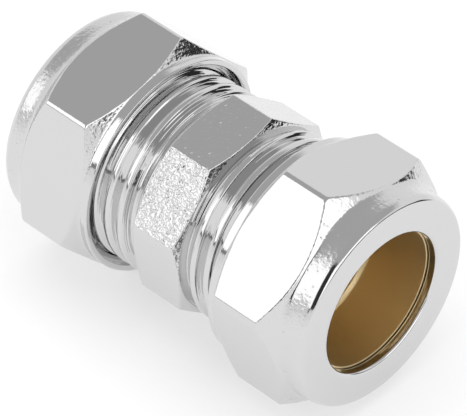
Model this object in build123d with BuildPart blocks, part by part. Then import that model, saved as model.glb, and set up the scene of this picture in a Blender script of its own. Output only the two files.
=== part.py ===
from build123d import *
import math
import os

# A straight compression coupling that joins two 15 mm copper tubes: a brass body with an octagonal
# middle and a male thread at each end, two union nuts and two olives (compression rings).
#
# Frame: the tube axis is X and the origin is the middle of the body. Both ends are drawn at the right,
# and the left one is turned half a turn about Z, which keeps every thread right-handed.
# Outlines of revolution are drawn as (distance along the axis, radius).

# ---- driving dimensions, mm ----
TUBE = 15.0  # outer diameter of the tube
OVERALL = 40.7  # between the outer faces of the two nuts, hand tight
BODY_LENGTH = 28.9
BODY_FLATS = 21.2  # across the flats of the octagon
NUT_LENGTH = 12.05
NUT_FLATS = 24.0  # across the flats of the hexagon
NUT_EDGE_ROUND = 0.75  # radius of the hexagon's long edges
COLLAR_RADIUS = 11.7  # round outer end of the nut
RING_RADIUS = 11.9  # round inner end of the nut
PITCH = 25.4 / 14  # 14 threads to the inch
THREAD_CREST = 10.45  # radii of the male thread
THREAD_ROOT = 9.40
THREAD_PLAY = 0.09  # along the axis, between the flanks of body and nut
OLIVE_LENGTH = 6.6
OLIVE_RADIUS = 8.6
SEAT_ANGLE = 30.0  # slope of every cone that squeezes an olive
SEAT_PLAY = 0.07  # radial, between an olive and its cones when hand tight

# How far the pieces are turned about the axis, in degrees. The fitting lies level on one edge of
# each nut, and those two edges stand either side of straight down.
LYING_TURN = 15.75
OCTAGON_TURN = 7.85
# Where a thread crest would cross the +Y side if it ran on to the middle. The two threads are cut
# separately, and each left piece is drawn at the right end before it is turned round.
CREST_AT_Y = {"right": 0.24, "left": -0.20}

HALF_TURN = {"right": 0, "left": 180}  # about Z, takes a piece drawn at the right end to its own end

# ---- body ----
BODY_END = BODY_LENGTH / 2
OCTAGON_HALF = 3.1
OCTAGON_BEVEL = (2.55, 11.5, 10.4)  # start, and the radii where it starts and ends
RELIEF_END = 4.15  # a plain groove at root depth lies between the octagon and the thread
STOP_HALF = 1.25  # the stop that the two tubes meet, in the middle of the bore
STOP_RADIUS = 6.6
SOCKET = TUBE / 2 + 0.05
THREAD_START = THREAD_ROOT + 0.05  # radius where the chamfer at the end of the thread begins

# ---- thread form ----
FLANK_SLOPE = math.tan(math.radians(27.5))  # Whitworth flanks
CREST_HALF = 0.29  # half width of the flat crest of the male thread
SUNK = 0.1  # how deep the foot of a ridge goes into the metal it stands on

# ---- nut ----
NUT_FACE = OVERALL / 2
NUT_MOUTH = NUT_FACE - NUT_LENGTH
NUT_CORNER = 13.8
RING_END = NUT_MOUTH + 1.0
CORNER_IN = NUT_MOUTH + 2.21
CORNER_OUT = NUT_FACE - 4.48
COLLAR_START = NUT_FACE - 2.6
COLLAR_HOLLOW = 0.9  # radius of the hollow where the cone runs into the collar
FACE_ROUND = 0.35
MOUTH_RADIUS = 11.34
NUT_BORE = THREAD_CREST + 0.15
NUT_CREST = THREAD_ROOT + 0.19
NUT_THREAD_START = NUT_MOUTH + 0.05  # the thread is cut back just behind the countersink in the mouth
NUT_THREAD_END = 15.5
SHOULDER = 16.6
LIP_RADIUS = TUBE / 2 + 0.25
LIP_END = NUT_FACE - 1.0

# ---- olive ----
OLIVE_BORE = TUBE / 2 + 0.10
OLIVE_OUT = NUT_FACE - 1.25
OLIVE_IN = OLIVE_OUT - OLIVE_LENGTH
SEAT_SLOPE = math.tan(math.radians(SEAT_ANGLE))
OLIVE_END = LIP_RADIUS + (LIP_END - OLIVE_OUT) * SEAT_SLOPE - SEAT_PLAY
OLIVE_TAPER = (OLIVE_RADIUS - OLIVE_END) / SEAT_SLOPE

# the cone in the body's mouth leaves the same play around the olive's inner end
CONE_START = OLIVE_IN - (OLIVE_END + SEAT_PLAY - SOCKET) / SEAT_SLOPE
CONE_END_RADIUS = SOCKET + (BODY_END - CONE_START) * SEAT_SLOPE


def turned(*points):
    """The solid that an outline of (distance, radius) points sweeps about X."""
    with BuildPart() as piece:
        with BuildSketch(Plane.XY):
            with BuildLine():
                Polyline(*points, close=True)
            make_face()
        revolve(axis=Axis.X)
    return piece.part


def ridge(end, crest, crest_half, foot, turns_out):
    """A helical ridge about X with Whitworth flanks, from one radius at its crest to another at its foot.

    It starts on the +Y side, a number of turns out from the middle, and runs past the body's end.
    """
    start = CREST_AT_Y[end] + turns_out * PITCH
    foot_half = crest_half + abs(crest - foot) * FLANK_SLOPE
    with BuildPart() as thread:
        with BuildLine() as path:
            Helix(PITCH, BODY_END + 1.5 * PITCH - start, crest)
        with BuildSketch(Plane(origin=(0, 0, 0), x_dir=(0, 0, 1), z_dir=(0, 1, 0))):
            with BuildLine():
                Polyline(
                    (-crest_half, crest),
                    (-foot_half, foot),
                    (foot_half, foot),
                    (crest_half, crest),
                    close=True,
                )
            make_face()
        sweep(path=path.wires()[0], is_frenet=True)
    about_x = Plane(origin=(start, 0, 0), x_dir=(0, 1, 0), z_dir=(1, 0, 0))
    return thread.part.moved(Location(about_x))


def male_thread(end):
    """The thread of one end of the body, chamfered where it starts, at the right end."""
    over_crest = THREAD_CREST + 0.5
    inside = THREAD_ROOT - 2 * SUNK
    with BuildPart() as thread:
        add(ridge(end, THREAD_CREST, CREST_HALF, THREAD_ROOT - SUNK, turns_out=2))
        zone = turned(
            (RELIEF_END, inside),
            (RELIEF_END, over_crest),
            (BODY_END - (over_crest - THREAD_START), over_crest),
            (BODY_END, THREAD_START),
            (BODY_END, inside),
        )
        add(zone, mode=Mode.INTERSECT)
    return thread.part


def female_thread(end):
    """The thread of one nut, at the right end. It stands half a pitch from the body's."""
    gap_half = PITCH / 2 - CREST_HALF - THREAD_PLAY
    crest_half = gap_half - (THREAD_CREST - NUT_CREST) * FLANK_SLOPE
    over_foot = NUT_BORE + 2 * SUNK
    inside = NUT_CREST - 0.5
    with BuildPart() as thread:
        add(ridge(end, NUT_CREST, crest_half, NUT_BORE + SUNK, turns_out=3.5))
        zone = turned(
            (NUT_THREAD_START + MOUTH_RADIUS - over_foot, over_foot),
            (NUT_THREAD_START + MOUTH_RADIUS - inside, inside),
            (NUT_THREAD_END, inside),
            (NUT_THREAD_END, over_foot),
        )
        add(zone, mode=Mode.INTERSECT)
    return thread.part


def at_end(end, name, part):
    """A part drawn at the right end, labelled and put at the end where it belongs."""
    placed = part.solid().rotate(Axis.Z, HALF_TURN[end])
    placed.label = f"{name}_{end}"
    return placed


# ---- the body: octagon, two threaded ends and the stepped bore ----
with BuildPart() as body:
    with BuildSketch(Plane.YZ.offset(-OCTAGON_HALF)):
        RegularPolygon(BODY_FLATS / 2, 8, major_radius=False, rotation=OCTAGON_TURN + 22.5)
    extrude(amount=2 * OCTAGON_HALF)
    bevel_start, bevel_top, bevel_end = OCTAGON_BEVEL
    bevelled = turned(
        (-OCTAGON_HALF, 0),
        (-OCTAGON_HALF, bevel_end),
        (-bevel_start, bevel_top),
        (bevel_start, bevel_top),
        (OCTAGON_HALF, bevel_end),
        (OCTAGON_HALF, 0),
    )
    add(bevelled, mode=Mode.INTERSECT)
    add(turned((-BODY_END, 0), (-BODY_END, THREAD_ROOT), (BODY_END, THREAD_ROOT), (BODY_END, 0)))
    bore = turned(
        (0, 0),
        (0, STOP_RADIUS),
        (STOP_HALF, STOP_RADIUS),
        (STOP_HALF, SOCKET),
        (CONE_START, SOCKET),
        (BODY_END, CONE_END_RADIUS),
        (BODY_END + 1, CONE_END_RADIUS),
        (BODY_END + 1, 0),
    )
    for end, half_turn in HALF_TURN.items():
        add(male_thread(end).rotate(Axis.Z, half_turn))
        add(bore.rotate(Axis.Z, half_turn), mode=Mode.SUBTRACT)
body.part.label = "body"

# ---- a nut: a hexagon turned down at both ends, the cavity, then the female thread ----
with BuildPart() as nut_outside:
    with BuildSketch(Plane.XY):
        with BuildLine():
            FilletPolyline(
                (NUT_MOUTH, RING_RADIUS),
                (RING_END, RING_RADIUS),
                (CORNER_IN, NUT_CORNER),
                (CORNER_OUT, NUT_CORNER),
                (COLLAR_START, COLLAR_RADIUS),
                (NUT_FACE, COLLAR_RADIUS),
                radius=[0.15, 0.1, 0.1, COLLAR_HOLLOW],
            )
            Polyline((NUT_FACE, COLLAR_RADIUS), (NUT_FACE, 0), (NUT_MOUTH, 0), (NUT_MOUTH, RING_RADIUS))
        make_face()
    revolve(axis=Axis.X)

with BuildPart() as plain_nut:
    with BuildSketch(Plane.YZ.offset(NUT_MOUTH)):
        RegularPolygon(NUT_FLATS / 2, 6, major_radius=False, rotation=LYING_TURN - 90)
        fillet(vertices(), NUT_EDGE_ROUND)
    extrude(amount=NUT_LENGTH)
    add(nut_outside.part, mode=Mode.INTERSECT)
    cavity = turned(
        (NUT_MOUTH - 1, 0),
        (NUT_MOUTH - 1, MOUTH_RADIUS),
        (NUT_MOUTH, MOUTH_RADIUS),
        (NUT_MOUTH + MOUTH_RADIUS - NUT_BORE, NUT_BORE),
        (SHOULDER, NUT_BORE),
        (SHOULDER, LIP_RADIUS + (LIP_END - SHOULDER) * SEAT_SLOPE),
        (LIP_END, LIP_RADIUS),
        (NUT_FACE + 1, LIP_RADIUS),
        (NUT_FACE + 1, 0),
    )
    add(cavity, mode=Mode.SUBTRACT)
    fillet(faces().sort_by(Axis.X)[-1].edges(), FACE_ROUND)

# ---- an olive: a ring tapered at both ends ----
with BuildPart() as olive:
    add(
        turned(
            (OLIVE_IN, OLIVE_BORE),
            (OLIVE_IN, OLIVE_END),
            (OLIVE_IN + OLIVE_TAPER, OLIVE_RADIUS),
            (OLIVE_OUT - OLIVE_TAPER, OLIVE_RADIUS),
            (OLIVE_OUT, OLIVE_END),
            (OLIVE_OUT, OLIVE_BORE),
        )
    )
pieces = [body.part]
for end in HALF_TURN:
    pieces.append(at_end(end, "nut", plain_nut.part + female_thread(end)))
    pieces.append(at_end(end, "olive", olive.part))
os.makedirs("parts", exist_ok=True)
for piece in pieces:
    export_step(piece, f"parts/{piece.label}.step")
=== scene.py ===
import math
import bmesh
import bpy
import numpy as np
from mathutils import Matrix, Vector, noise


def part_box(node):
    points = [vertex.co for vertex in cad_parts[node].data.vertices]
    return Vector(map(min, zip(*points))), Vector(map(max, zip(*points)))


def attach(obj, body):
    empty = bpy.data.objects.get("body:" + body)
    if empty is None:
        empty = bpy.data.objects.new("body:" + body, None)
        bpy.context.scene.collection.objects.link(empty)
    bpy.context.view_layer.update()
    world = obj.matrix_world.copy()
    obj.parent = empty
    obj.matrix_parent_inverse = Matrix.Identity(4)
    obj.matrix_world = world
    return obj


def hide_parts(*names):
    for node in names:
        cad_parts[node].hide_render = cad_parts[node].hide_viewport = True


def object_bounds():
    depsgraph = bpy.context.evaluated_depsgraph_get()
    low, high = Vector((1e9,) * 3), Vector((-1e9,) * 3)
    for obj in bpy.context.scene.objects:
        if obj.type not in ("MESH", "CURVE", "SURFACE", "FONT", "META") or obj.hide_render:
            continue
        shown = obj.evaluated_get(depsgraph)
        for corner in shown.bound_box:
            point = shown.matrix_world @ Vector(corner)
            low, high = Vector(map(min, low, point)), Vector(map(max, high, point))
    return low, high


# A chrome-plated compression coupling for two 15 mm tubes. Each CAD node is replaced by a finer mesh
# of the same size, built as a closed ring of columns round the tube axis X, and then finished with
# procedural chrome and brass. Outlines are (distance along X, radius). The dimensions are in mm and
# become metres when a mesh is made. The materials and the studio are in metres.

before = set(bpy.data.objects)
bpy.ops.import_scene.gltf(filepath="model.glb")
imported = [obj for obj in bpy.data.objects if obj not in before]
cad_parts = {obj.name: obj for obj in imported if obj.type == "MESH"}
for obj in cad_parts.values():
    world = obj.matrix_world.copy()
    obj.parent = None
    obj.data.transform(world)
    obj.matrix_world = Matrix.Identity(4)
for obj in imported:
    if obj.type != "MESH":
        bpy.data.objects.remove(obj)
cad_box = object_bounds()

MM = 0.001


def along_axis(node):
    """Where a CAD node starts and ends along X, in mm."""
    low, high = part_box(node)
    return low.x / MM, high.x / MM


# ---- dimensions ----
BODY_END = along_axis("body")[1]
NUT_MOUTH, NUT_FACE = along_axis("nut_right")
OLIVE_IN, OLIVE_OUT = along_axis("olive_right")

OCTAGON_SIDES = 8
BODY_FLATS = 21.2
OCTAGON_TURN = 7.85  # direction of one flat's normal, degrees from +Y towards +Z
OCTAGON_ROUND = 0.25  # radius of the octagon's long edges
OCTAGON_HALF = 3.1
BEVEL_START, BEVEL_TOP, BEVEL_END = 2.55, 11.5, 10.4
RELIEF_END = 4.15  # a plain groove at root depth lies between the octagon and the thread
STOP_HALF = 1.25
STOP_RADIUS = 6.6
SOCKET = 7.55

NUT_SIDES = 6
NUT_FLATS = 24.0
NUT_TURN = 15.75
NUT_ROUND = 0.75
RING_RADIUS = 11.9
RING_END = NUT_MOUTH + 1.0
LEAST_RISE = 0.02  # by which the flats always stand above the ring
CONE_IN = 1.57  # rise over run of the cone between the ring and the flats
CONE_OUT = 1.117  # the same between the flats and the collar
COLLAR_START = NUT_FACE - 2.6
COLLAR_RADIUS = 11.7
COLLAR_DRAFT = 0.1  # how much smaller the collar gets towards the face
FACE_CHAMFER = 0.62  # length along X of the worn edge between the collar and the face
MOUTH_RADIUS = 11.34
NUT_BORE = 10.6
SHOULDER = 16.6
LIP_RADIUS = 7.75
LIP_END = NUT_FACE - 1.0

PITCH = 25.4 / 14
THREAD_CREST = 10.45
THREAD_ROOT = 9.40
THREAD_START = THREAD_ROOT + 0.05
CREST_HALF = 0.29
# Where a crest would cross the +Y side if it ran on to the middle. Each left thread is drawn at the
# right end before it is turned half a turn about Z.
CREST_AT_Y = {"right": 0.24, "left": -0.20}
FLANK_SLOPE = math.tan(math.radians(27.5))
NUT_CREST = THREAD_ROOT + 0.19
NUT_CREST_HALF = 0.08
NUT_THREAD_END = 15.5
BODY_TURNS = range(9)  # the turns that are drawn, counted outwards from the middle
NUT_TURNS = range(2, 9)

OLIVE_RADIUS = 8.6
OLIVE_BORE = 7.6
SEAT_SLOPE = math.tan(math.radians(30))
SEAT_PLAY = 0.07
OLIVE_END = LIP_RADIUS + (LIP_END - OLIVE_OUT) * SEAT_SLOPE - SEAT_PLAY
OLIVE_TAPER = (OLIVE_RADIUS - OLIVE_END) / SEAT_SLOPE
CONE_START = OLIVE_IN - (OLIVE_END + SEAT_PLAY - SOCKET) / SEAT_SLOPE
CONE_END_RADIUS = SOCKET + (BODY_END - CONE_START) * SEAT_SLOPE

# ---- corners ----
# How far a corner of an outline is cut back, and in how many steps it is rounded
SQUARE = (0, 1)
CRISP = (0.05, 1)
STOP_EDGE = (0.1, 2)
OCTAGON_FOOT = (0.15, 3)
OCTAGON_END = (0.1, 2)
FLAT_END = (0.12, 3)
MOUTH_EDGE = (0.08, 2)
RING_EDGE = (0.15, 3)
RING_HOLLOW = (0.15, 2)
NUT_FLAT_END = (0.16, 3)
COLLAR_HOLLOW = (0.8, 6)
COLLAR_EDGE = (0.15, 3)
FACE_EDGE = (0.3, 6)
LIP_EDGE = (0.6, 7)
OLIVE_EDGE = (0.06, 2)
OLIVE_MOUTH = (0.06, 3)
OLIVE_BEND = (0.1, 2)

MOST_CUT = 0.4  # of the length of the outline's straight stretch
SUPPORT = 0.06  # distance of the row that keeps the face next to a rounded corner flat
MOST_SUPPORT = 0.08  # of the length of the straight stretch

# How the foot and the crest of a ridge are rounded: how far each point lies from the sharp corner
# along the axis, away from the ridge's middle, and how far up or down the ridge, as shares of the cut
FOOT_CURVE = ((0.35, 0.06), (0, 0.25), (-0.22, 0.55), (-FLANK_SLOPE, 1))
CREST_CURVE = ((FLANK_SLOPE, 1), (0, 0.25), (-0.6, 0))

# ---- finishes ----
# What the chrome reads at each point: how coarse the forged grain is, how deep the marks of the
# turning tool are, and how dull the plate is
FINISH_NAMES = ("grain", "tool", "dull")
TURNED = (0.0, 1.0, 0.03)
OCTAGON_BEVEL = (0.25, 0.0, 0.07)
OCTAGON_GRAIN = (0.4, 0.3, 0.22, 1.0, 0.18, 0.4, 0.5, 0.3)  # for each flat in turn
NUT_PLAIN = (0.02, 0.15, 0.07)
NUT_FLAT = (0.04, 0.15, 0.05)
NUT_CONE = (0.2, 0.35, 0.13)
NUT_COLLAR = (0.2, 0.15, 0.2)
ON_FLAT = 0.01  # a point this near to a flat is on it


# ---- building a mesh from columns round the axis ----
def column_angles(sides, turn, half_steps, gather):
    """Angles for a whole turn, in radians, close together at a polygon's corners and wide between them."""
    half = math.pi / sides
    steps = np.arange(-half_steps, half_steps) / half_steps
    near_corner = half * np.sinh(gather * steps) / math.sinh(gather)
    first = math.radians(turn) + half
    angles = [first + 2 * half * side + near_corner for side in range(sides)]
    angles = np.concatenate(angles)
    return np.append(angles, angles[0] + 2 * math.pi)


def polygon_radius(angles, sides, turn, flats, edge_round):
    """Distance from the axis to a polygon with rounded corners, in each direction."""
    half = math.pi / sides
    from_flat = (angles - math.radians(turn) + half) % (2 * half) - half
    from_corner = half - np.abs(from_flat)
    centre = (flats / 2 - edge_round) / math.cos(half)
    tangent = math.atan2(edge_round * math.sin(half), centre + edge_round * math.cos(half))
    inside = np.maximum(edge_round**2 - (centre * np.sin(from_corner)) ** 2, 0)
    rounded = centre * np.cos(from_corner) + np.sqrt(inside)
    flat = flats / 2 / np.cos(from_flat)
    return np.where(from_corner < tangent, rounded, flat)


def soften(corners, count, closed=False):
    """Rows for an outline whose corners are cut back and rounded.

    Each corner is (x, radius, cut, steps); x and radius may differ from column to column. The first
    and the last corner of an open outline stay as they are.
    """
    points = [np.stack(np.broadcast_arrays(x, r, np.zeros(count))[:2], 1) for x, r, _, _ in corners]
    rows = []
    last = len(corners) - 1
    for i, (_, _, cut, steps) in enumerate(corners):
        here = points[i]
        if not closed and i in (0, last):
            rows.append(here)
            continue
        before = points[i - 1] - here
        after = points[(i + 1) % len(points)] - here
        reach = []
        for edge in (before, after):
            length = np.linalg.norm(edge, axis=1, keepdims=True) + 1e-9
            reach.append((edge / length, length))
        (back, back_length), (ahead, ahead_length) = reach
        start = here + back * np.minimum(cut, MOST_CUT * back_length)
        end = here + ahead * np.minimum(cut, MOST_CUT * ahead_length)
        rows.append(start + back * np.minimum(SUPPORT, MOST_SUPPORT * back_length))
        for t in np.linspace(0, 1, steps + 1):
            rows.append((1 - t) ** 2 * start + 2 * t * (1 - t) * here + t**2 * end)
        rows.append(end + ahead * np.minimum(SUPPORT, MOST_SUPPORT * ahead_length))
    return rows


def thread_rows(angles, outline, first_crest, turns, low, high, limit):
    """Rows that follow a right-handed thread, cut off square at low and high.

    outline is one pitch of (offset, radius) points, first_crest says where turn 0 crosses the +Y side,
    and limit gives the radius that cuts the thread back at each x.
    """
    offsets, radii = np.array(outline).T
    rows = []
    for turn in turns:
        crest = first_crest + turn * PITCH + PITCH * angles / (2 * math.pi)
        at_low = np.interp(low - crest, offsets, radii, period=PITCH)
        for offset, radius in outline:
            x = np.clip(crest + offset, low, high)
            cut = np.where(crest + offset < low, at_low, radius)
            rows.append(np.stack([x, limit(x, cut)], 1))
    return rows


def ridge_outline(crest, crest_half, foot, crest_cut, foot_cut):
    """One pitch of a thread with Whitworth flanks, rounded at the crest and at the foot."""
    foot_half = crest_half + abs(crest - foot) * FLANK_SLOPE
    inward = math.copysign(1, foot - crest)
    half = []
    for along, away in FOOT_CURVE:
        half.append((min(foot_half + along * foot_cut, PITCH / 2), foot - inward * away * foot_cut))
    for along, away in CREST_CURVE:
        half.append((crest_half + along * crest_cut, crest + inward * away * crest_cut))
    return [(-offset, radius) for offset, radius in half] + half[::-1]


def finish_areas(shape, base, *areas):
    """Values for FINISH_NAMES at each point: a base with other finishes laid over it where masks say."""
    layers = []
    for i, value in enumerate(base):
        layer = np.full(shape, value)
        for mask, finish in areas:
            layer = np.where(mask, finish[i], layer)
        layers.append(layer)
    return layers


def ring_mesh(name, angles, rows, finish_of):
    """A closed mesh from rows of (x, radius) round the axis, in metres, welded where rows meet.

    finish_of(x, radius) gives the values for FINISH_NAMES.
    """
    rows = np.stack(rows, 1)
    x = rows[:, :, 0]
    radius = rows[:, :, 1]
    turned = angles[:, None]
    points = np.stack([x, radius * np.cos(turned), radius * np.sin(turned)], 2)
    columns, count = x.shape
    index = np.arange(columns * count).reshape(columns, count)
    following = np.roll(index, -1, axis=1)
    quads = np.stack([index[:-1], following[:-1], following[1:], index[1:]], 2).reshape(-1, 4)
    mesh = bpy.data.meshes.new(name)
    mesh.from_pydata((points.reshape(-1, 3) * MM).tolist(), [], quads.tolist())
    for title, values in zip(FINISH_NAMES, finish_of(x, radius)):
        attribute = mesh.attributes.new(title, "FLOAT", "POINT")
        attribute.data.foreach_set("value", values.reshape(-1).astype(np.float32))
    weld = 2e-7
    build = bmesh.new()
    build.from_mesh(mesh)
    bmesh.ops.remove_doubles(build, verts=build.verts, dist=weld)
    bmesh.ops.recalc_face_normals(build, faces=build.faces)
    build.to_mesh(mesh)
    build.free()
    mesh.shade_smooth()
    return mesh


def line_bore(mesh, material, radius):
    """Gives another material to the faces nearer to the axis than radius, where the plate doesn't reach."""
    mesh.materials.append(material)
    for face in mesh.polygons:
        if math.hypot(face.center.y, face.center.z) < radius * MM:
            face.material_index = len(mesh.materials) - 1


def piece(name, mesh, body, node):
    """Puts a mesh in the scene in place of a CAD node."""
    obj = bpy.data.objects.new(name, mesh)
    bpy.context.scene.collection.objects.link(obj)
    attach(obj, body)
    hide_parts(node)
    return obj


def put_at_end(mesh, end):
    """Takes a mesh drawn at the right end to its own end."""
    if end == "left":
        mesh.transform(Matrix.Rotation(math.pi, 4, "Z"))
    return mesh


def waviness(angles, scale, depth, seed):
    """How far a forged surface strays from true in each direction round the axis."""
    wave = [noise.noise(Vector((scale * math.cos(a), scale * math.sin(a), seed))) for a in angles]
    return depth * np.array(wave)


# ---- the three shapes ----
def body_mesh():
    """The body: a bevelled octagon between two threads, and the stepped bore through all of it."""
    angles = column_angles(OCTAGON_SIDES, OCTAGON_TURN, half_steps=16, gather=3.0)
    count = len(angles)
    flats = polygon_radius(angles, OCTAGON_SIDES, OCTAGON_TURN, BODY_FLATS, OCTAGON_ROUND)
    slope = (BEVEL_TOP - BEVEL_END) / (OCTAGON_HALF - BEVEL_START)
    bevel_x = BEVEL_START + (BEVEL_TOP - flats) / slope
    outline = ridge_outline(THREAD_CREST, CREST_HALF, THREAD_ROOT, crest_cut=0.12, foot_cut=0.6)

    def end_chamfer(x, radius):
        return np.minimum(radius, THREAD_START + (BODY_END - x))

    def thread(end, angles):
        first_crest = CREST_AT_Y[end]
        return thread_rows(angles, outline, first_crest, BODY_TURNS, RELIEF_END, BODY_END, end_chamfer)

    def half(side):
        return [
            (side * RELIEF_END, THREAD_ROOT, *SQUARE),
            (side * OCTAGON_HALF, THREAD_ROOT, *OCTAGON_FOOT),
            (side * OCTAGON_HALF, BEVEL_END, *OCTAGON_END),
            (side * bevel_x, flats, *FLAT_END),
        ]

    # Half a turn about Z takes x to -x and an angle to half a turn less the angle. The whole turn
    # added here keeps it positive, and moves no crest.
    left_thread = [row * (-1, 1) for row in thread("left", 3 * math.pi - angles)[::-1]]
    middle = soften(half(-1) + half(1)[::-1], count)
    right_thread = thread("right", angles)
    bore = soften(
        [
            (BODY_END, THREAD_START, *SQUARE),
            (BODY_END, CONE_END_RADIUS, *CRISP),
            (CONE_START, SOCKET, *CRISP),
            (STOP_HALF, SOCKET, *CRISP),
            (STOP_HALF, STOP_RADIUS, *STOP_EDGE),
            (-STOP_HALF, STOP_RADIUS, *STOP_EDGE),
            (-STOP_HALF, SOCKET, *CRISP),
            (-CONE_START, SOCKET, *CRISP),
            (-BODY_END, CONE_END_RADIUS, *CRISP),
            (-BODY_END, THREAD_START, *SQUARE),
        ],
        count,
    )

    flat_index = np.round((np.degrees(angles) - OCTAGON_TURN) / (360 / OCTAGON_SIDES)).astype(int)
    flat_grain = np.array(OCTAGON_GRAIN)[flat_index % OCTAGON_SIDES][:, None]
    octagon_flat = (flat_grain, *OCTAGON_BEVEL[1:])

    def finish(x, radius):
        octagon = (np.abs(x) < OCTAGON_HALF) & (radius > BEVEL_END)
        flat = octagon & (np.abs(flats[:, None] - radius) < ON_FLAT)
        return finish_areas(x.shape, TURNED, (octagon, OCTAGON_BEVEL), (flat, octagon_flat))

    return ring_mesh("coupling_body", angles, left_thread + middle + right_thread + bore, finish)


def nut_mesh(end):
    """A union nut, drawn at the right end. Its forged flats and the ends of its cones stray a little."""
    angles = column_angles(NUT_SIDES, NUT_TURN, half_steps=26, gather=3.0)
    count = len(angles)
    flats = polygon_radius(angles, NUT_SIDES, NUT_TURN, NUT_FLATS, NUT_ROUND)
    flats = flats + waviness(angles, scale=3.0, depth=0.02, seed=5.0)
    top = np.maximum(flats, RING_RADIUS + LEAST_RISE)
    cone_in_x = RING_END + (top - RING_RADIUS) / CONE_IN
    cone_in_x = cone_in_x + waviness(angles, scale=14.0, depth=0.025, seed=1.0)
    cone_out_x = COLLAR_START - (top - COLLAR_RADIUS) / CONE_OUT
    cone_out_x = cone_out_x + waviness(angles, scale=14.0, depth=0.05, seed=9.0)
    countersink = NUT_MOUTH + MOUTH_RADIUS - NUT_BORE
    outside = soften(
        [
            (countersink, NUT_BORE, *SQUARE),
            (NUT_MOUTH, MOUTH_RADIUS, *MOUTH_EDGE),
            (NUT_MOUTH, RING_RADIUS, *RING_EDGE),
            (RING_END, RING_RADIUS, *RING_HOLLOW),
            (cone_in_x, top, *NUT_FLAT_END),
            (cone_out_x, top, *NUT_FLAT_END),
            (COLLAR_START, COLLAR_RADIUS, *COLLAR_HOLLOW),
            (NUT_FACE - FACE_CHAMFER, COLLAR_RADIUS - COLLAR_DRAFT, *COLLAR_EDGE),
            (NUT_FACE, COLLAR_RADIUS - COLLAR_DRAFT - FACE_CHAMFER / 2, *FACE_EDGE),
            (NUT_FACE, LIP_RADIUS, *LIP_EDGE),
            (LIP_END, LIP_RADIUS, *CRISP),
            (SHOULDER, LIP_RADIUS + (LIP_END - SHOULDER) * SEAT_SLOPE, *CRISP),
            (SHOULDER, NUT_BORE, *CRISP),
            (NUT_THREAD_END, NUT_BORE, *SQUARE),
        ],
        count,
    )

    def bore_chamfers(x, radius):
        run_in = NUT_MOUTH + MOUTH_RADIUS - x
        run_out = NUT_BORE - (NUT_THREAD_END - x)
        return np.minimum(np.maximum(radius, np.maximum(run_in, run_out)), NUT_BORE)

    outline = ridge_outline(NUT_CREST, NUT_CREST_HALF, NUT_BORE, crest_cut=0.05, foot_cut=0.05)
    first_crest = CREST_AT_Y[end] + 0.5 * PITCH
    thread = thread_rows(
        angles, outline, first_crest, NUT_TURNS, countersink, NUT_THREAD_END, bore_chamfers
    )

    def finish(x, radius):
        flat = np.abs(flats[:, None] - radius) < ON_FLAT
        cone = radius > RING_RADIUS
        collar = (x > COLLAR_START) & (x < NUT_FACE - FACE_CHAMFER) & (radius > OLIVE_RADIUS)
        return finish_areas(x.shape, NUT_PLAIN, (collar, NUT_COLLAR), (cone, NUT_CONE), (flat, NUT_FLAT))

    return ring_mesh(f"union_nut_{end}", angles, outside + thread[::-1], finish)


def olive_mesh(end):
    """An olive, drawn at the right end: a ring tapered at both ends, in evenly spread columns."""
    angles = column_angles(sides=4, turn=0.0, half_steps=30, gather=0.5)
    rows = soften(
        [
            (OLIVE_IN, OLIVE_BORE, *OLIVE_EDGE),
            (OLIVE_IN, OLIVE_END, *OLIVE_EDGE),
            (OLIVE_IN + OLIVE_TAPER, OLIVE_RADIUS, *OLIVE_BEND),
            (OLIVE_OUT - OLIVE_TAPER, OLIVE_RADIUS, *OLIVE_BEND),
            (OLIVE_OUT, OLIVE_END, *OLIVE_EDGE),
            (OLIVE_OUT, OLIVE_BORE, *OLIVE_MOUTH),
        ],
        len(angles),
        closed=True,
    )

    def finish(x, radius):
        return finish_areas(x.shape, TURNED)

    return ring_mesh(f"olive_ring_{end}", angles, rows, finish)


# ---- materials ----
# Scales are so many to the metre, and depths are in metres.
CHROME = (0.66, 0.66, 0.663, 1)
CHROME_LINES, CHROME_LINE_DEPTH = 3600.0, 0.00006
PEEL, PEEL_DEPTH = 2600.0, 0.00022  # the pebbled surface of a forging
DENTS, DENT_DEPTH = 1000.0, 0.00004
DENT_FLOOR, DENT_RIM = 0.02, 0.14  # where a dent's side starts and ends, as a share of its cell
DENTS_PER_GRAIN = 4.0  # how fast the dents reach their full depth as the grain gets coarser
BRASS = (0.86, 0.70, 0.43, 1)
BRASS_LINES, BRASS_LINE_DEPTH, BRASS_LINE_STRENGTH = 7000.0, 0.00002, 0.6
BRASS_ROUGHNESS = 0.38
LINE_DRIFT = 0.004  # how fast a tool mark changes along its own length, next to across it


class Nodes:
    """A short way to add and link shader nodes."""

    def __init__(self, tree):
        self.tree = tree
        tree.nodes.clear()

    def add(self, kind, inputs=None, **settings):
        node = self.tree.nodes.new(kind)
        for key, value in settings.items():
            setattr(node, key, value)
        for key, value in (inputs or {}).items():
            if isinstance(value, bpy.types.NodeSocket):
                self.tree.links.new(value, node.inputs[key])
            else:
                node.inputs[key].default_value = value
        return node

    def math(self, operation, a, b=0.0, clamp=False):
        return self.add("ShaderNodeMath", {0: a, 1: b}, operation=operation, use_clamp=clamp).outputs[0]


def new_material(name):
    """A material with no nodes yet, and the way to add them."""
    material = bpy.data.materials.new(name)
    material.use_nodes = True
    return material, Nodes(material.node_tree)


def bump(nodes, height, strength, distance, under=None):
    """A relief of the given depth in metres, on top of another one."""
    inputs = {"Height": height, "Strength": strength, "Distance": distance}
    if under is not None:
        inputs["Normal"] = under
    return nodes.add("ShaderNodeBump", inputs).outputs[0]


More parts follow.
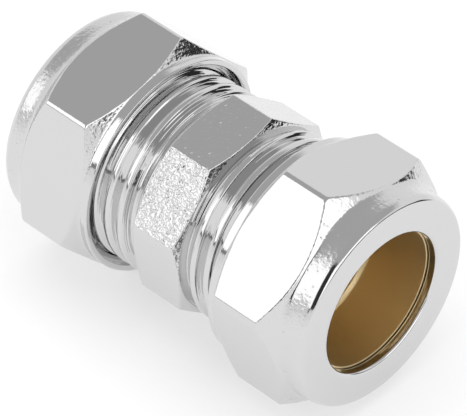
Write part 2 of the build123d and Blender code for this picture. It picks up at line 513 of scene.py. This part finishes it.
def turned_lines(nodes, place, per_metre):
    """Noise that changes quickly along and away from the X axis and slowly round it, as tool marks do."""
    parts = nodes.add("ShaderNodeSeparateXYZ", {0: place}).outputs
    across = nodes.math("MULTIPLY", parts["Y"], parts["Y"])
    upward = nodes.math("MULTIPLY", parts["Z"], parts["Z"])
    radius = nodes.math("SQRT", nodes.math("ADD", across, upward))
    slow = nodes.math("MULTIPLY", nodes.math("ADD", parts["Y"], parts["Z"]), LINE_DRIFT)
    lines = nodes.add("ShaderNodeCombineXYZ", {0: parts["X"], 1: radius, 2: slow}).outputs[0]
    inputs = {"Vector": lines, "Scale": per_metre, "Detail": 1.0, "Roughness": 0.5}
    return nodes.add("ShaderNodeTexNoise", inputs).outputs[0]


def chrome():
    """Bright plate over metal that was forged where grain is 1, and turned on a lathe where tool is 1."""
    material, nodes = new_material("chrome")
    place = nodes.add("ShaderNodeTexCoord").outputs["Object"]
    read = [nodes.add("ShaderNodeAttribute", attribute_name=name) for name in FINISH_NAMES]
    grain, tool, dull = (attribute.outputs["Fac"] for attribute in read)

    surface = bump(nodes, turned_lines(nodes, place, CHROME_LINES), tool, CHROME_LINE_DEPTH)
    inputs = {"Vector": place, "Scale": PEEL, "Detail": 1.5, "Roughness": 0.5}
    peel = nodes.add("ShaderNodeTexNoise", inputs).outputs[0]
    surface = bump(nodes, peel, grain, PEEL_DEPTH, surface)
    cells = nodes.add("ShaderNodeTexVoronoi", {"Vector": place, "Scale": DENTS}).outputs["Distance"]
    inputs = {"Value": cells, "From Min": DENT_FLOOR, "From Max": DENT_RIM}
    dents = nodes.add("ShaderNodeMapRange", inputs).outputs[0]
    dented = nodes.math("MULTIPLY", grain, DENTS_PER_GRAIN, clamp=True)
    surface = bump(nodes, dents, dented, DENT_DEPTH, surface)

    inputs = {"Base Color": CHROME, "Metallic": 1.0, "Roughness": dull, "Normal": surface}
    shader = nodes.add("ShaderNodeBsdfPrincipled", inputs)
    nodes.add("ShaderNodeOutputMaterial", {"Surface": shader.outputs[0]})
    return material


def brass():
    """Turned brass, a little dull."""
    material, nodes = new_material("brass")
    place = nodes.add("ShaderNodeTexCoord").outputs["Object"]
    lines = turned_lines(nodes, place, BRASS_LINES)
    surface = bump(nodes, lines, BRASS_LINE_STRENGTH, BRASS_LINE_DEPTH)
    inputs = {"Base Color": BRASS, "Metallic": 1.0, "Roughness": BRASS_ROUGHNESS, "Normal": surface}
    shader = nodes.add("ShaderNodeBsdfPrincipled", inputs)
    nodes.add("ShaderNodeOutputMaterial", {"Surface": shader.outputs[0]})
    return material


# ---- the studio ----
TENT = 0.95  # brightness between the panels
ALL_ROUND = (-400, 400)
# Each panel covers headings (degrees from -Y towards +X) and heights (the upward part of a direction),
# with the softness of its edges in both, and has its own brightness. A later one covers an earlier one.
PANELS = (
    (ALL_ROUND, (-2.0, -0.01), (1, 0.01), 1.02),  # below the table
    (ALL_ROUND, (0.62, 2.0), (1, 0.09), 0.51),  # overhead
    ((-54, 12), (0.20, 0.766), (2, 0.015), 1.55),  # soft box
    ((-62, 16), (0.12, 0.19), (2, 0.015), 0.25),  # rail under the soft box
    ((42, 118), (0.16, 0.70), (3, 0.03), 1.6),  # panel on the right
    ((18, 42), (0.15, 0.80), (2, 0.03), 0.04),  # black flag
    ((86, 165), (-0.25, 0.15), (5, 0.03), 0.03),  # dark doorway
)


def between(nodes, value, low, high, soft):
    """1 where value lies between low and high, fading to 0 over soft on each side."""
    ramps = []
    for edge, sign in ((low, 1), (high, -1)):
        limits = {"Value": value, "From Min": edge - sign * soft, "From Max": edge + sign * soft}
        ramps.append(nodes.add("ShaderNodeMapRange", limits, interpolation_type="SMOOTHSTEP").outputs[0])
    return nodes.math("MULTIPLY", *ramps)


def studio_world():
    """A pale tent with a soft box and a panel at the front, and darker places between and above them."""
    world = bpy.data.worlds.new("studio")
    world.use_nodes = True
    bpy.context.scene.world = world
    nodes = Nodes(world.node_tree)
    place = nodes.add("ShaderNodeTexCoord").outputs["Generated"]
    parts = nodes.add("ShaderNodeSeparateXYZ", {0: place}).outputs
    backward = nodes.math("MULTIPLY", parts["Y"], -1.0)
    heading = nodes.math("DEGREES", nodes.math("ARCTAN2", parts["X"], backward))
    level = TENT
    for headings, heights, softness, brightness in PANELS:
        wide = between(nodes, heading, *headings, softness[0])
        tall = between(nodes, parts["Z"], *heights, softness[1])
        mask = nodes.math("MULTIPLY", wide, tall)
        level = nodes.add("ShaderNodeMix", {0: mask, 2: level, 3: brightness}).outputs[0]
    background = nodes.add("ShaderNodeBackground", {"Color": (1, 1, 1, 1), "Strength": level})
    nodes.add("ShaderNodeOutputWorld", {"Surface": background.outputs[0]})


def studio_floor(level):
    """A plain pale light table under the fitting, and the lamp that evens it out."""
    size = 0.14
    paper_colour = (0.48, 0.48, 0.48, 1)
    glow_strength = 0.50
    lamp_size = 1.2
    lamp_power = 5.6
    lamp_height = 1.0

    corners = [(x * size, y * size, level) for x, y in ((-1, -1), (1, -1), (1, 1), (-1, 1))]
    mesh = bpy.data.meshes.new("floor")
    mesh.from_pydata(corners, [], [(0, 1, 2, 3)])
    material, nodes = new_material("floor")
    paper = nodes.add("ShaderNodeBsdfDiffuse", {"Color": paper_colour}).outputs[0]
    glow = nodes.add("ShaderNodeEmission", {"Strength": glow_strength}).outputs[0]
    lit = nodes.add("ShaderNodeAddShader", {0: paper, 1: glow}).outputs[0]
    nodes.add("ShaderNodeOutputMaterial", {"Surface": lit})
    mesh.materials.append(material)
    floor = bpy.data.objects.new("floor", mesh)
    bpy.context.scene.collection.objects.link(floor)

    light = bpy.data.lights.new("floor_lamp", "AREA")
    light.shape = "DISK"
    light.size = lamp_size
    light.energy = lamp_power
    lamp = bpy.data.objects.new("floor_lamp", light)
    lamp.location = (0, 0, lamp_height)
    lamp.visible_glossy = False
    bpy.context.scene.collection.objects.link(lamp)


def studio_camera():
    """The photograph's viewpoint: a long lens from the right, the front and above."""
    azimuth = math.radians(43.40)
    elevation = math.radians(42.10)
    roll = math.radians(0.64)
    aim = Vector((0.33, 0.06, -0.21)) * MM
    distance = 395.15 * MM
    ahead = Vector(
        (
            -math.cos(elevation) * math.sin(azimuth),
            math.cos(elevation) * math.cos(azimuth),
            -math.sin(elevation),
        )
    )
    level = Vector((ahead.y, -ahead.x, 0)).normalized()
    upright = level.cross(ahead)
    right = level * math.cos(roll) + upright * math.sin(roll)
    up = upright * math.cos(roll) - level * math.sin(roll)
    data = bpy.data.cameras.new("camera")
    data.lens = 308.4
    data.sensor_width = 36.0
    data.clip_start = 0.01
    camera = bpy.data.objects.new("camera", data)
    camera.matrix_world = Matrix.Translation(aim - ahead * distance) @ Matrix(
        (
            (right.x, up.x, -ahead.x, 0),
            (right.y, up.y, -ahead.y, 0),
            (right.z, up.z, -ahead.z, 0),
            (0, 0, 0, 1),
        )
    )
    bpy.context.scene.collection.objects.link(camera)
    bpy.context.scene.camera = camera


# ---- putting it together ----
chrome_plate = chrome()
bare_brass = brass()

body = body_mesh()
body.materials.append(chrome_plate)
line_bore(body, bare_brass, CONE_END_RADIUS)
piece("coupling_body", body, "fitting_body", "body")
for end in CREST_AT_Y:
    nut = put_at_end(nut_mesh(end), end)
    nut.materials.append(chrome_plate)
    piece(f"union_nut_{end}", nut, f"{end}_nut", f"nut_{end}")
    olive = put_at_end(olive_mesh(end), end)
    olive.materials.append(bare_brass)
    piece(f"olive_ring_{end}", olive, f"{end}_olive", f"olive_{end}")

studio_world()
studio_floor(cad_box[0][2])
studio_camera()
bpy.context.scene.view_settings.view_transform = "Standard"
